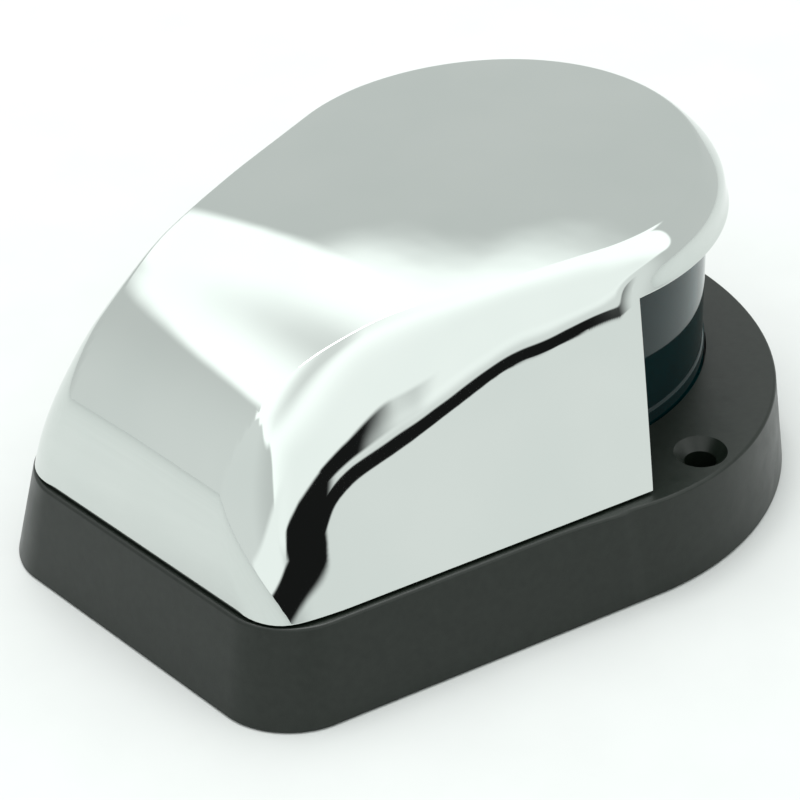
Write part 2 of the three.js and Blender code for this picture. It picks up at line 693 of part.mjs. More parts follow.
COVER_SCREWS.forEach(([x, y], i) => {
  const headZ = COVER_SCREW_SEAT.headZ - GAP;
  place(`cover_screw_${i + 1}`, "steel", makeScrew(COVER_SCREW, x, y, headZ, 1));
});
CARRIER_SCREWS.forEach((y, i) => {
  const headZ = HOOD_FOOT + CARRIER.foot + GAP;
  place(`carrier_screw_${i + 1}`, "steel", makeScrew(CARRIER_SCREW, CARRIER_SCREW.x, y, headZ, -1));
});

export default light;
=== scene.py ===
"""The looks of the bi-colour bow navigation light: a mirror-chromed hood on a black moulded base, with a
red and green drum lens, in a plain pale studio. Shapes are worked out in millimetres."""

import json
import math

import bmesh
import bpy
import numpy as np
from mathutils import Matrix, Vector


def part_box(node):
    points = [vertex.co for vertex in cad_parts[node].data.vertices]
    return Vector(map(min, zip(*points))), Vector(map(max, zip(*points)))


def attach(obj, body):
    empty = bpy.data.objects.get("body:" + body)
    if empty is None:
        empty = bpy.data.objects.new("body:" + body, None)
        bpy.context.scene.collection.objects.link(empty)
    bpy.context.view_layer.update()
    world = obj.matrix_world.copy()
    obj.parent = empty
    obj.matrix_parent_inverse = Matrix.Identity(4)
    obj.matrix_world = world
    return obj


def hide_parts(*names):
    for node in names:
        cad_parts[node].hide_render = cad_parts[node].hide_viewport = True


MM = 0.001
BODY = "root"

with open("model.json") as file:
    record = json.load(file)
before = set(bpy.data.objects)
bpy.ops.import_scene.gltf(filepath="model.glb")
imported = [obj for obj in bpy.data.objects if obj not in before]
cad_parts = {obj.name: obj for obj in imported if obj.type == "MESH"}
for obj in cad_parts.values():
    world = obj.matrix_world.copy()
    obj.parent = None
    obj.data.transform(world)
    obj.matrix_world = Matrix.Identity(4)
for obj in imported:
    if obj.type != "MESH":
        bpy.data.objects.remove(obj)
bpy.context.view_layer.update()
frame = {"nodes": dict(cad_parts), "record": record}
nodes = frame["nodes"]

# ---------------------------------------------------------------- dimensions, in millimetres

BASE_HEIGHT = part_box("base")[1].z / MM
NOSE = {"x": 11.3, "along_x": 40.5, "along_y": 44.5}
STERN = {"x": -51.8, "half_width": 28.4, "corner": 8.1, "slope": 0.2772}
TOP_NOSE = {"x": 13.0, "along_x": 37.0, "along_y": 42.8}
TOP_STERN = {"x": -48.3, "half_width": 26.3, "corner": 7.6, "slope": 0.2735}
SIDES_END = {"foot": 1.4, "top": -2.4}
TOP_BLEND = 2.5
TOP_EDGE = 0.4
FOOT_BEVEL = 0.25
BASE_WALL = 3.0
CEILING = BASE_HEIGHT - 2.5

HOOD_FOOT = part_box("cover")[0].z / MM
HOOD_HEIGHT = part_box("cover")[1].z / MM
HOOD_WALL = 2.0
HOOD_LEAN = math.radians(22.2)
HOOD_STERN_X = -47.6
HOOD_CREST_X = -15.0
HOOD_BACK = {"along": 2.25, "up": 2.5}
HOOD_SIDE = {"x": 3.9, "half_width": 39.8, "slope": 0.2735}
CROWN_ACROSS = 0.0013
# How far the rounded edge reaches down the side and over the roof, at stations along the hood.
EDGE_STATIONS = [
    {"x": -47.6, "down": 5.0, "over": 5.2},
    {"x": -38.0, "down": 12.5, "over": 3.0},
    {"x": -24.0, "down": 20.0, "over": 1.8},
    {"x": -6.0, "down": 11.5, "over": 1.2},
    {"x": 6.0, "down": 9.0, "over": 1.2},
    {"x": 20.0, "down": 4.0, "over": 1.3},
]
INNER_EDGE = 0.5  # the least rounding left inside the wall
RIM_SWELL = {"out": 0.6, "start_x": 4.0, "full_x": 20.0}
VISOR_UNDERSIDE = 36.0
MOUTH = {"foot": 3.9, "lean": 0.28}
HOOD_CENTRE = np.array([-2.7, 0.0, HOOD_FOOT])
PLATE_EDGE = 0.22  # rounding of the hood's cut edges
SKIN_ROWS = {"outer": 130, "inner": 40}
FINE_ROWS = 420  # trial rows from which the skin's rows are spaced
LAST_ELEVATION = math.radians(89.6)  # of the last row below the crest
ARC_STEPS = 150

LAMP_X = 15.4
LENS = {"foot": 29.3, "waist": 29.0, "top": 29.3, "wall": 2.2, "lip": 2.2, "seat": 1.6, "top_z": 36.5}
LENS_ARC = 112.5  # each colour's sector, in degrees from dead ahead
LENS_JOINT = 0.15
LENS_SOFT_EDGE = 0.18
LIP_BEVEL = {"across": 0.06, "start": 0.45, "turn": 0.3}  # the last two are down from the lip's top
GROOVE_FLOOR = BASE_HEIGHT - LENS["seat"] - 0.9
GROOVE_ROOM = {"inner": 0.4, "outer": 0.25}
GROOVE_END_ROOM = 0.4  # in degrees, past each end of the lens
GROOVE_WALL_DEPTH = 2.0
WELL = {"radius": 11.0, "wall": 1.5, "floor": 5.0, "bottom": 3.0}
DECK_SCREW = {"x": 14.8, "y": 38.2, "head": 3.5, "hole": 2.1, "sink": 1.5}
DECK_BOSS = {"radius": 4.5, "y": 37.2, "foot": 0.3}
COVER_SCREWS = [(-6, 21), (-6, -21), (-36, 14), (-36, -14)]
COVER_SCREW = {"shank": 1.75, "head": 3.3, "seat": 8.0, "post": 4.8, "boss": 3.6, "foot": 3.0}
CARRIER_SCREWS = [(-2.6, 9), (-2.6, -9)]
CARRIER_HOLE = 1.45
GROMMET = {"x": -22.0, "hole": 6.0}
SPARE = 1.0  # how far a cutting shape reaches past what it cuts
OVERLAP = 0.3  # how far the hood's posts run into its wall
POST_LIFT = 0.02  # how far the posts stop short of the hood's foot


# ---------------------------------------------------------------- mesh helpers


def piece(name, mesh, slot, material, *stands_for):
    """Adds a finished mesh to the scene as a named piece that rides on the body."""
    made = bpy.data.objects.new(name, mesh)
    bpy.context.scene.collection.objects.link(made)
    mesh.materials.clear()
    mesh.materials.append(material)
    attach(made, BODY)
    if stands_for:
        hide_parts(*stands_for)
    return made


def mesh_of(name, points, faces):
    """A mesh from points in millimetres."""
    mesh = bpy.data.meshes.new(name)
    mesh.from_pydata((np.asarray(points) * MM).tolist(), [], faces)
    mesh.validate(clean_customdata=False)
    return mesh


def ring_faces(rows, count, closed=True):
    """Quads between rows of points that follow one another."""
    faces = []
    for row in range(rows - 1):
        for i in range(count if closed else count - 1):
            a, b = row * count + i, row * count + (i + 1) % count
            faces.append((a, b, b + count, a + count))
    return faces


def stacked(name, rings):
    """A closed solid from rings of points, one above the other, with flat ends."""
    count = len(rings[0])
    faces = ring_faces(len(rings), count)
    faces.append(tuple(reversed(range(count))))
    faces.append(tuple((len(rings) - 1) * count + i for i in range(count)))
    return mesh_of(name, np.concatenate(rings), faces)


def circle(radius, z, x=0.0, y=0.0, count=96):
    angle = np.linspace(0, 2 * math.pi, count, endpoint=False)
    return np.stack([x + radius * np.cos(angle), y + radius * np.sin(angle), np.full(count, z)], 1)


def turned(name, profile, x=0.0, y=0.0, count=96):
    """A solid of revolution from (radius, z) pairs, bottom to top."""
    return stacked(name, [circle(radius, z, x, y, count) for radius, z in profile])


def swept(name, profile, start, end, steps, centre=(LAMP_X, 0.0)):
    """A closed (radius, z) section swept about a vertical axis from one angle to another, in degrees."""
    rings = []
    for angle in np.radians(np.linspace(start, end, steps + 1)):
        ahead, across = math.cos(angle), math.sin(angle)
        rings.append([(centre[0] + r * ahead, centre[1] + r * across, z) for r, z in profile])
    count = len(profile)
    faces = [face[::-1] for face in ring_faces(len(rings), count)]
    faces.append(tuple(range(count)))
    faces.append(tuple(reversed([(len(rings) - 1) * count + i for i in range(count)])))
    return mesh_of(name, np.concatenate(rings), faces)


def facing_out(mesh):
    """Turns every face outwards."""
    work = bmesh.new()
    work.from_mesh(mesh)
    bmesh.ops.recalc_face_normals(work, faces=work.faces)
    work.to_mesh(mesh)
    work.free()
    return mesh


def carved(body, tools):
    """Joins or cuts the body with each (operation, mesh) in turn, and returns the resulting mesh."""
    target = bpy.data.objects.new("work", facing_out(body))
    bpy.context.scene.collection.objects.link(target)
    helpers = []
    for operation, tool in tools:
        helper = bpy.data.objects.new("tool", facing_out(tool))
        bpy.context.scene.collection.objects.link(helper)
        helper.hide_render = True
        helpers.append(helper)
        cut = target.modifiers.new("cut", "BOOLEAN")
        cut.operation = operation
        cut.solver = "EXACT"
        cut.object = helper
    graph = bpy.context.evaluated_depsgraph_get()
    made = bpy.data.meshes.new_from_object(target.evaluated_get(graph))
    for used in [target, *helpers]:
        bpy.data.objects.remove(used)
    return made


def smoothed(mesh, angle=30.0):
    """Smooth shading that stops at edges sharper than the angle."""
    mesh.shade_smooth()
    mesh.set_sharp_from_angle(angle=math.radians(angle))
    return mesh


def hold_flats(made):
    """Large flat faces keep their own normal beside a rounded edge."""
    weight = made.modifiers.new("flats", "WEIGHTED_NORMAL")
    weight.weight = 100
    weight.keep_sharp = True


# ---------------------------------------------------------------- base outline


def rounded_corner(first, second, radius):
    """Where two faces meet, the corner between them is rounded by the radius."""
    inside = (first > -radius) & (second > -radius)
    corner = np.hypot(np.maximum(first + radius, 0), np.maximum(second + radius, 0)) - radius
    return np.where(inside, corner, np.maximum(first, second))


def stern_field(x, y, stern, front_x):
    """Roughly how far outside the tapering stern a point is. The stern ends ahead at front_x."""
    slant = math.atan(stern["slope"])
    side = (np.abs(y) - stern["half_width"] - (x - stern["x"]) * stern["slope"]) * math.cos(slant)
    return np.maximum(rounded_corner(side, stern["x"] - x, stern["corner"]), x - front_x)


def nose_field(x, y, nose):
    """Roughly how far outside the nose's ellipse a point is."""
    return (np.hypot((x - nose["x"]) / nose["along_x"], y / nose["along_y"]) - 1) * nose["along_x"]


def foot_field(x, y):
    return np.minimum(stern_field(x, y, STERN, SIDES_END["foot"]), nose_field(x, y, NOSE))


def top_field(x, y):
    stern = stern_field(x, y, TOP_STERN, SIDES_END["top"])
    nose = nose_field(x, y, TOP_NOSE)
    overlap = np.maximum(TOP_BLEND - np.abs(stern - nose), 0)
    return np.minimum(stern, nose) - overlap**2 / (4 * TOP_BLEND)


def reach(field, near, far, steps=40):
    """The distances at which a field turns from inside to outside, for arrays of rays at once."""
    near, far = np.array(near, float), np.array(far, float)
    for _ in range(steps):
        middle = (near + far) / 2
        inside = field(middle) < 0
        near, far = np.where(inside, middle, near), np.where(inside, far, middle)
    return (near + far) / 2


# Directions round the base, closer together at its bow and stern than at its sides.
EVEN_ANGLES = np.linspace(0, 2 * math.pi, 480, endpoint=False)
CROWDING = 0.22
BASE_ANGLES = EVEN_ANGLES - CROWDING * np.sin(2 * EVEN_ANGLES)


def base_ring(z, inset=0.0):
    """The base's outline at a height, moved inwards."""
    c, s = np.cos(BASE_ANGLES), np.sin(BASE_ANGLES)
    start, limit = np.zeros(len(c)), np.full(len(c), 90.0)
    foot = reach(lambda d: foot_field(d * c, d * s) + inset, start, limit)
    top = reach(lambda d: top_field(d * c, d * s) + inset, start, limit)
    radius = foot + (top - foot) * min(max(z / BASE_HEIGHT, 0), 1)
    return np.stack([radius * c, radius * s, np.full(len(c), z)], 1)


# ---------------------------------------------------------------- hood surface


def smoothstep(value, low, high):
    t = np.clip((value - low) / (high - low), 0, 1)
    return t * t * (3 - 2 * t)


def edge_sizes(x, inset):
    """How far the rounded edge reaches down the side and over the roof, at each x."""
    down, over = 0.0, 0.0
    for here, ahead in zip(EDGE_STATIONS, EDGE_STATIONS[1:]):
        share = smoothstep(x, here["x"], ahead["x"])
        down = down + (ahead["down"] - here["down"]) * share
        over = over + (ahead["over"] - here["over"]) * share
    down, over = down + EDGE_STATIONS[0]["down"], over + EDGE_STATIONS[0]["over"]
    return np.maximum(down - inset, INNER_EDGE), np.maximum(over - inset, INNER_EDGE)


def oval_corner(side, roof, down, over):
    """Where the side meets the roof, the corner is a quarter of an oval."""
    in_corner = (side > -over) & (roof > -down)
    u, v = np.maximum(side / over + 1, 0), np.maximum(roof / down + 1, 0)
    level = np.hypot(u, v)
    # The level is 1 on the skin, and its slope turns it into a distance.
    slope = np.maximum(np.hypot(u / over, v / down), 1e-9)
    return np.where(in_corner, (level - 1) * level / slope, np.maximum(side, roof))


def hood_field(p, inset=0.0):
    """Signed distance, roughly, from the hood's skin moved inwards by inset, for an array of points."""
    x, y, z = p[..., 0], np.abs(p[..., 1]), p[..., 2]
    slant = math.atan(HOOD_SIDE["slope"])
    side_reach = (HOOD_SIDE["half_width"] - HOOD_SIDE["x"] * HOOD_SIDE["slope"]) * math.cos(slant)
    nose_radius = side_reach + LAMP_X * math.sin(slant)
    ahead = (x - LAMP_X) * math.cos(slant) + y * math.sin(slant)
    straight = y * math.cos(slant) - x * math.sin(slant) - side_reach
    plan = np.where(ahead > 0, np.hypot(x - LAMP_X, y) - nose_radius, straight)
    band = np.clip((z - VISOR_UNDERSIDE) / (HOOD_HEIGHT - VISOR_UNDERSIDE), 0, 1)
    swell = RIM_SWELL["out"] * smoothstep(x, RIM_SWELL["start_x"], RIM_SWELL["full_x"])
    swell = swell * np.sin(math.pi * band) ** 2
    side = (plan + (z - BASE_HEIGHT) * math.tan(HOOD_LEAN) - swell) * math.cos(HOOD_LEAN)

    crown = CROWN_ACROSS * y**2
    length, height = HOOD_CREST_X - HOOD_STERN_X, HOOD_HEIGHT - BASE_HEIGHT
    fall = np.maximum(HOOD_CREST_X - x, 0) / length
    rise = np.maximum(z + crown - BASE_HEIGHT, 1e-6) / height
    along, up = HOOD_BACK["along"], HOOD_BACK["up"]
    level = fall**along + rise**up
    steepness = np.hypot(along * fall ** (along - 1) / length, up * rise ** (up - 1) / height)
    # Deep inside, where the steepness fades away, any distance well below the skin will do.
    roof = np.where(level < 0.15, -30.0, (level - 1) / np.maximum(steepness, 1e-5))
    return oval_corner(side + inset, roof + inset, *edge_sizes(x, inset))


def hood_normals(p, inset=0.0):
    """Outward unit normals of the hood's skin, from the field's slope."""
    step = 0.02
    slope = [hood_field(p + step * axis, inset) - hood_field(p - step * axis, inset) for axis in np.eye(3)]
    slope = np.stack(slope, -1)
    return slope / np.linalg.norm(slope, axis=-1, keepdims=True)


def hood_cast(azimuth, elevation, inset):
    """Points of the skin, moved inwards, along rays from the hood's centre."""
    flat = np.cos(elevation)
    ray = np.stack([np.cos(azimuth) * flat, np.sin(azimuth) * flat, np.sin(elevation)], -1)
    start, limit = np.zeros(ray.shape[:-1]), np.full(ray.shape[:-1], 110.0)
    distance = reach(lambda d: hood_field(HOOD_CENTRE + ray * d[..., None], inset), start, limit, 34)
    return HOOD_CENTRE + ray * distance[..., None]


def cut_away(p):
    """True where the hood's mouth takes the skin away: below the visor and ahead of the leaning edge."""
    edge_x = MOUTH["foot"] + (p[..., 2] - HOOD_FOOT) * MOUTH["lean"]
    return (p[..., 2] < VISOR_UNDERSIDE) & (p[..., 0] > edge_x)


def hood_azimuths():
    """Meridians, closer together where the side walls' front edges meet the visor and the foot."""
    even = np.linspace(0, 2 * math.pi, 360, endpoint=False)
    close = np.radians(np.linspace(60, 84, 121))
    return np.unique(np.round(np.concatenate([even, close, 2 * math.pi - close]), 6))


def lowest_kept(azimuth, inset):
    """The elevation at which each meridian begins, above whatever the mouth cuts away."""
    low, high = np.zeros(len(azimuth)), np.full(len(azimuth), math.radians(80))
    for _ in range(30):
        middle = (low + high) / 2
        gone = cut_away(hood_cast(azimuth, middle, inset))
        low, high = np.where(gone, middle, low), np.where(gone, high, middle)
    return np.where(high < 1e-4, 0.0, high)


def hood_rows(azimuth, inset, count, back_off):
    """Rows of skin points from each meridian's start to the crest, closer together where the skin bends."""
    start = lowest_kept(azimuth, inset)
    if back_off:
        nudge = 1e-3
        edge = hood_cast(azimuth, start, inset)
        ahead = hood_cast(azimuth, start + nudge, inset)
        start = start + nudge * back_off / np.linalg.norm(ahead - edge, axis=-1)
    share = np.linspace(0, 1, FINE_ROWS)[:, None]
    elevation = start + share * (LAST_ELEVATION - start)
    fine = hood_cast(np.broadcast_to(azimuth, elevation.shape), elevation, inset)
    normal = hood_normals(fine, inset)
    length = np.linalg.norm(np.diff(fine, axis=0), axis=-1)
    bend = np.degrees(np.arccos(np.clip((normal[1:] * normal[:-1]).sum(-1), -1, 1)))
    # A millimetre of length and 2.5 degrees of bend each earn the same share of the rows.
    effort = np.vstack([np.zeros(len(azimuth)), np.cumsum(length + bend / 2.5, axis=0)])
    rows = np.empty((count, len(azimuth)))
    for i in range(len(azimuth)):
        wanted = np.linspace(0, effort[-1, i], count)
        rows[:, i] = np.interp(wanted, effort[:, i], elevation[:, i])
    return hood_cast(np.broadcast_to(azimuth, rows.shape), rows, inset)


def make_hood_mesh():
    """The chromed shell: outer skin, rounded cut edge, cut face and inner skin, with exact normals."""
    azimuth = hood_azimuths()
    count = len(azimuth)
    outer = hood_rows(azimuth, 0.0, SKIN_ROWS["outer"], PLATE_EDGE)
    inner = hood_rows(azimuth, HOOD_WALL, SKIN_ROWS["inner"], 0.0)
    edge = hood_cast(azimuth, lowest_kept(azimuth, 0.0), 0.0)
    across = inner[0] - edge
    across = across / np.linalg.norm(across, axis=-1, keepdims=True)
    low = edge + across * PLATE_EDGE

    # The cut face's own direction between two meridians: down at the foot and under the visor, ahead at the
    # side walls' front edges.
    following = np.roll(edge, -1, axis=0)
    middle = (edge + following) / 2
    down = np.array([0.0, 0.0, -1.0])
    front = np.array([1.0, 0.0, -MOUTH["lean"]]) / math.hypot(1, MOUTH["lean"])
    close = 0.05
    at_wall = (middle[:, 2] > HOOD_FOOT + close) & (middle[:, 2] < VISOR_UNDERSIDE - close)
    face_normal = np.where(at_wall[:, None], front, down)

    points, lower_normal, upper_normal = [], [], []

    def add_row(row, below, above):
        points.append(row)
        lower_normal.append(below)
        upper_normal.append(above)

    skin_start = hood_normals(outer[0])
    inner_normals = -hood_normals(inner, HOOD_WALL)
    for row in reversed(range(len(inner))):
        add_row(inner[row], inner_normals[row], inner_normals[row])
    # From here on a row's normals are the cut face's, mixed with the skin's round the edge.
    rounding = np.linspace(0, 1, 6)
    for step in rounding:
        row = (1 - step) ** 2 * low + 2 * step * (1 - step) * edge + step**2 * outer[0]
        add_row(row, step, step)
    for row in range(1, len(outer)):
        here = hood_normals(outer[row])
        add_row(outer[row], here, here)

    def normal_of(row, i, face, inner_side):
        value = upper_normal[row] if inner_side else lower_normal[row]
        if isinstance(value, float):
            mixed = (1 - value) * face_normal[face] + value * skin_start[i]
            return mixed / np.linalg.norm(mixed)
        return value[i]

    faces, normals = [], []
    inner_last = len(inner) - 1
    for row in range(len(points) - 1):
        for i in range(count):
            j = (i + 1) % count
            faces.append((row * count + i, row * count + j, (row + 1) * count + j, (row + 1) * count + i))
            if row == inner_last:  # the flat cut face itself
                normals.extend([face_normal[i]] * 4)
                continue
            for at_row, at_i in ((row, i), (row, j), (row + 1, j), (row + 1, i)):
                normals.append(normal_of(at_row, at_i, i, at_row == row))

    crests = []
    for row, inset, sign in ((len(points) - 1, 0.0, 1), (0, HOOD_WALL, -1)):
        crest = hood_cast(np.array([0.0]), np.array([math.pi / 2]), inset)
        crest_normal = sign * hood_normals(crest, inset)[0]
        pole = len(points) * count + len(crests)
        crests.append(crest[0])
        for i in range(count):
            j = (i + 1) % count
            pair = (i, j) if sign > 0 else (j, i)
            faces.append((row * count + pair[0], row * count + pair[1], pole))
            normals.extend([upper_normal[row][pair[0]], upper_normal[row][pair[1]], crest_normal])

    mesh = bpy.data.meshes.new("hood")
    every = np.concatenate([*points, np.array(crests)]) * MM
    mesh.from_pydata(every.tolist(), [], faces)
    mesh.shade_smooth()
    mesh.normals_split_custom_set([tuple(n) for n in normals])
    return mesh


def inner_ceiling(points):
    """The same points raised to just inside the wall above them."""
    x, y = points[:, 0], points[:, 1]
    low, high = np.full(len(x), HOOD_FOOT), np.full(len(x), HOOD_HEIGHT)
    height = reach(lambda z: hood_field(np.stack([x, y, z], -1), HOOD_WALL - OVERLAP), low, high)
    return np.stack([x, y, height], 1)


def make_post_mesh():
    """The four tubular posts inside the hood that its screws go up into."""
    points, faces = [], []
    bottom = HOOD_FOOT + POST_LIFT
    count = 48
    for x, y in COVER_SCREWS:
        inside = circle(COVER_SCREW["shank"], bottom, x, y, count)
        outside = circle(COVER_SCREW["boss"], bottom, x, y, count)
        start = len(points) * count
        points.extend([inside, outside, inner_ceiling(outside), inner_ceiling(inside)])
        for ring in range(4):
            here, above = start + ring * count, start + (ring + 1) % 4 * count
            for i in range(count):
                j = (i + 1) % count
                faces.append((here + i, here + j, above + j, above + i))
    return smoothed(facing_out(mesh_of("posts", np.concatenate(points), faces)))


# ---------------------------------------------------------------- base and lens meshes


def make_base_mesh():
    """The moulding: bevelled foot, rounded top edge, hollow underside, posts, well, groove and holes."""
    above, roof_cut = BASE_HEIGHT + SPARE, CEILING + SPARE
    rings = [base_ring(0.0, FOOT_BEVEL), base_ring(FOOT_BEVEL), base_ring(BASE_HEIGHT - TOP_EDGE)]
    for turn in np.radians([18, 36, 54, 72, 90]):
        height = BASE_HEIGHT - TOP_EDGE * (1 - math.sin(turn))
        rings.append(base_ring(height, TOP_EDGE * (1 - math.cos(turn))))
    body = stacked("base", rings)

    groove_in = LENS["foot"] - LENS["wall"] - GROOVE_ROOM["inner"]
    groove_out = LENS["foot"] + GROOVE_ROOM["outer"]
    groove = [
        (groove_in, GROOVE_FLOOR),
        (groove_out, GROOVE_FLOOR),
        (groove_out, above),
        (groove_in, above),
    ]
    hollow_rings = [base_ring(-SPARE, BASE_WALL), base_ring(CEILING, BASE_WALL)]
    tools = [("DIFFERENCE", stacked("hollow", hollow_rings))]
    for x, y in COVER_SCREWS:
        post = [(COVER_SCREW["post"], COVER_SCREW["foot"]), (COVER_SCREW["post"], roof_cut)]
        tools.append(("UNION", turned("post", post, x, y)))
    for side in (1, -1):
        boss = [(DECK_BOSS["radius"], DECK_BOSS["foot"]), (DECK_BOSS["radius"], roof_cut)]
        tools.append(("UNION", turned("boss", boss, DECK_SCREW["x"], side * DECK_BOSS["y"])))
    outer = WELL["radius"] + WELL["wall"]
    tools.append(("UNION", turned("well", [(outer, WELL["bottom"]), (outer, roof_cut)], LAMP_X)))
    inner_well = [(WELL["radius"], WELL["floor"]), (WELL["radius"], above)]
    tools.append(("DIFFERENCE", turned("well_hole", inner_well, LAMP_X)))
    wall_in, wall_out = groove_in - WELL["wall"], groove_out + WELL["wall"]
    wall_foot = GROOVE_FLOOR - GROOVE_WALL_DEPTH
    ring_wall = [(wall_in, wall_foot), (wall_out, wall_foot), (wall_out, roof_cut), (wall_in, roof_cut)]
    tools.append(("UNION", swept("groove_wall", ring_wall, -LENS_ARC, LENS_ARC, ARC_STEPS)))
    groove_end = LENS_ARC + GROOVE_END_ROOM
    tools.append(("DIFFERENCE", swept("groove", groove, -groove_end, groove_end, ARC_STEPS)))
    for side in (1, -1):
        hole = [
            (DECK_SCREW["hole"], -SPARE),
            (DECK_SCREW["hole"], BASE_HEIGHT - DECK_SCREW["sink"]),
            (DECK_SCREW["head"], BASE_HEIGHT),
            (DECK_SCREW["head"], above),
        ]
        tools.append(("DIFFERENCE", turned("deck_hole", hole, DECK_SCREW["x"], side * DECK_SCREW["y"])))
    for x, y in COVER_SCREWS:
        hole = [
            (COVER_SCREW["head"], COVER_SCREW["foot"] - SPARE),
            (COVER_SCREW["head"], COVER_SCREW["seat"]),
            (COVER_SCREW["shank"], COVER_SCREW["seat"]),
            (COVER_SCREW["shank"], above),
        ]
        tools.append(("DIFFERENCE", turned("cover_hole", hole, x, y, 48)))
    for x, y in CARRIER_SCREWS:
        hole = [(CARRIER_HOLE, CEILING - SPARE), (CARRIER_HOLE, above)]
        tools.append(("DIFFERENCE", turned("carrier_hole", hole, x, y, 32)))
    grommet = [(GROMMET["hole"], CEILING - SPARE), (GROMMET["hole"], above)]
    tools.append(("DIFFERENCE", turned("grommet_hole", grommet, GROMMET["x"])))
    return smoothed(carved(body, tools))


def make_lens_mesh(side):
    """One half of the drum lens, with a lip at its foot and softened edges."""
    inner = LENS["foot"] - LENS["wall"]
    bottom = BASE_HEIGHT - LENS["seat"]
    lip = BASE_HEIGHT + LENS["lip"]
    soft = LENS_SOFT_EDGE
    profile = [
        (inner, bottom),
        (LENS["foot"] - soft, bottom),
        (LENS["foot"], bottom + soft),
        (LENS["foot"], lip - LIP_BEVEL["start"]),
        (LENS["foot"] - LIP_BEVEL["across"], lip - LIP_BEVEL["turn"]),
        (LENS["waist"], lip),
        (LENS["top"], LENS["top_z"] - soft),
        (LENS["top"] - soft, LENS["top_z"]),
        (inner, LENS["top_z"]),
    ]
    start = math.degrees(LENS_JOINT / LENS["foot"])
    mesh = swept("lens", profile, side * start, side * LENS_ARC, ARC_STEPS)
    return smoothed(facing_out(mesh), 25.0)


# ---------------------------------------------------------------- materials


class Shader:
    """A material with one Principled shader, and short ways to add the nodes that vary it."""

    def __init__(self, name):
        self.material = bpy.data.materials.new(name)
        self.material.use_nodes = True
        self.tree = self.material.node_tree
        self.main = self.tree.nodes["Principled BSDF"]
        self.place = self.node("ShaderNodeTexCoord").outputs["Object"]

    def node(self, kind, **settings):
        made = self.tree.nodes.new(kind)
        for key, value in settings.items():
            setattr(made, key, value)
        return made

    def link(self, source, target):
        self.tree.links.new(source, target)

    def set(self, **values):
        for key, value in values.items():
            self.main.inputs[key.replace("_", " ")].default_value = value

    def noise(self, per_metre, detail=3.0, rough=0.5):
        made = self.node("ShaderNodeTexNoise")
        made.inputs["Scale"].default_value = per_metre
        made.inputs["Detail"].default_value = detail
        made.inputs["Roughness"].default_value = rough
        self.link(self.place, made.inputs["Vector"])
        return made.outputs["Fac"]

    def spread(self, source, low, high, to_low, to_high):
        """Maps a value from one range to another."""
        made = self.node("ShaderNodeMapRange")
        for key, value in (("From Min", low), ("From Max", high), ("To Min", to_low), ("To Max", to_high)):
            made.inputs[key].default_value = value
        self.link(source, made.inputs["Value"])
        return made.outputs["Result"]

    def varied(self, per_metre, detail, low=0.0, high=1.0, tail=0.3):
        """Noise from low to high, with the rare values below tail and above 1 - tail cut off."""
        return self.spread(self.noise(per_metre, detail), tail, 1 - tail, low, high)

    def colours(self, source, first, second):
        """The base colour, between two."""
        made = self.node("ShaderNodeMix", data_type="RGBA")
        made.inputs["A"].default_value = (*first, 1)
        made.inputs["B"].default_value = (*second, 1)
        self.link(source, made.inputs["Factor"])
        self.link(made.outputs["Result"], self.main.inputs["Base Color"])

    def roughness(self, source):
        self.link(source, self.main.inputs["Roughness"])

    def bump(self, source, strength, distance):
        made = self.node("ShaderNodeBump")
        made.inputs["Strength"].default_value = strength
        made.inputs["Distance"].default_value = distance
        self.link(source, made.inputs["Height"])
        self.link(made.outputs["Normal"], self.main.inputs["Normal"])


def chrome_material():
    """Bright chrome plate: a faint long ripple from polishing, and slight haze."""
    s = Shader("chrome_plate")
    s.set(Metallic=1.0)
    s.colours(s.varied(60.0, 2.0), (0.63, 0.665, 0.645), (0.655, 0.685, 0.665))
    s.roughness(s.varied(260.0, 4.0, 0.010, 0.024))
    s.bump(s.noise(75.0, 1.5), 0.12, 0.0003)
    return s.material


def base_material():
    """Satin black moulding: fine grain, faint flow marks and a slight shine."""
    s = Shader("black_moulding")
    s.set(IOR=1.43)
    grain = s.varied(900.0, 5.0)
    s.colours(grain, (0.0040, 0.0072, 0.0045), (0.0075, 0.0112, 0.0080))
    s.roughness(s.varied(320.0, 4.0, 0.30, 0.40, tail=0.25))
    s.bump(s.noise(5200.0, 3.0), 0.16, 0.00006)
    return s.material


def lens_material(name, dark, light):
    """Tinted clear plastic with a polished face."""
    s = Shader(name)
    s.set(IOR=1.40, Transmission_Weight=0.72)
    s.colours(s.varied(90.0, 2.0), dark, light)
    s.roughness(s.varied(420.0, 3.0, 0.02, 0.05))
    s.bump(s.noise(160.0, 2.0), 0.08, 0.0002)
    return s.material


def plain_material(name, first, second, rough, grain, metallic=0.0, relief=0.15):
    """A material for a small inner piece: mottled colour, uneven shine and fine grain."""
    s = Shader(name)
    s.set(Metallic=metallic)
    s.colours(s.varied(grain, 4.0), first, second)
    s.roughness(s.varied(grain * 0.6, 3.0, rough * 0.8, rough * 1.2))
    s.bump(s.noise(grain * 5, 3.0), relief, 0.00005)
    return s.material


def glass_material():
    s = Shader("lamp_glass")
    s.set(IOR=1.5, Transmission_Weight=1.0)
    s.colours(s.varied(200.0, 2.0), (0.93, 0.95, 0.95), (0.98, 0.99, 0.99))
    s.roughness(s.varied(500.0, 2.0, 0.01, 0.04))
    return s.material


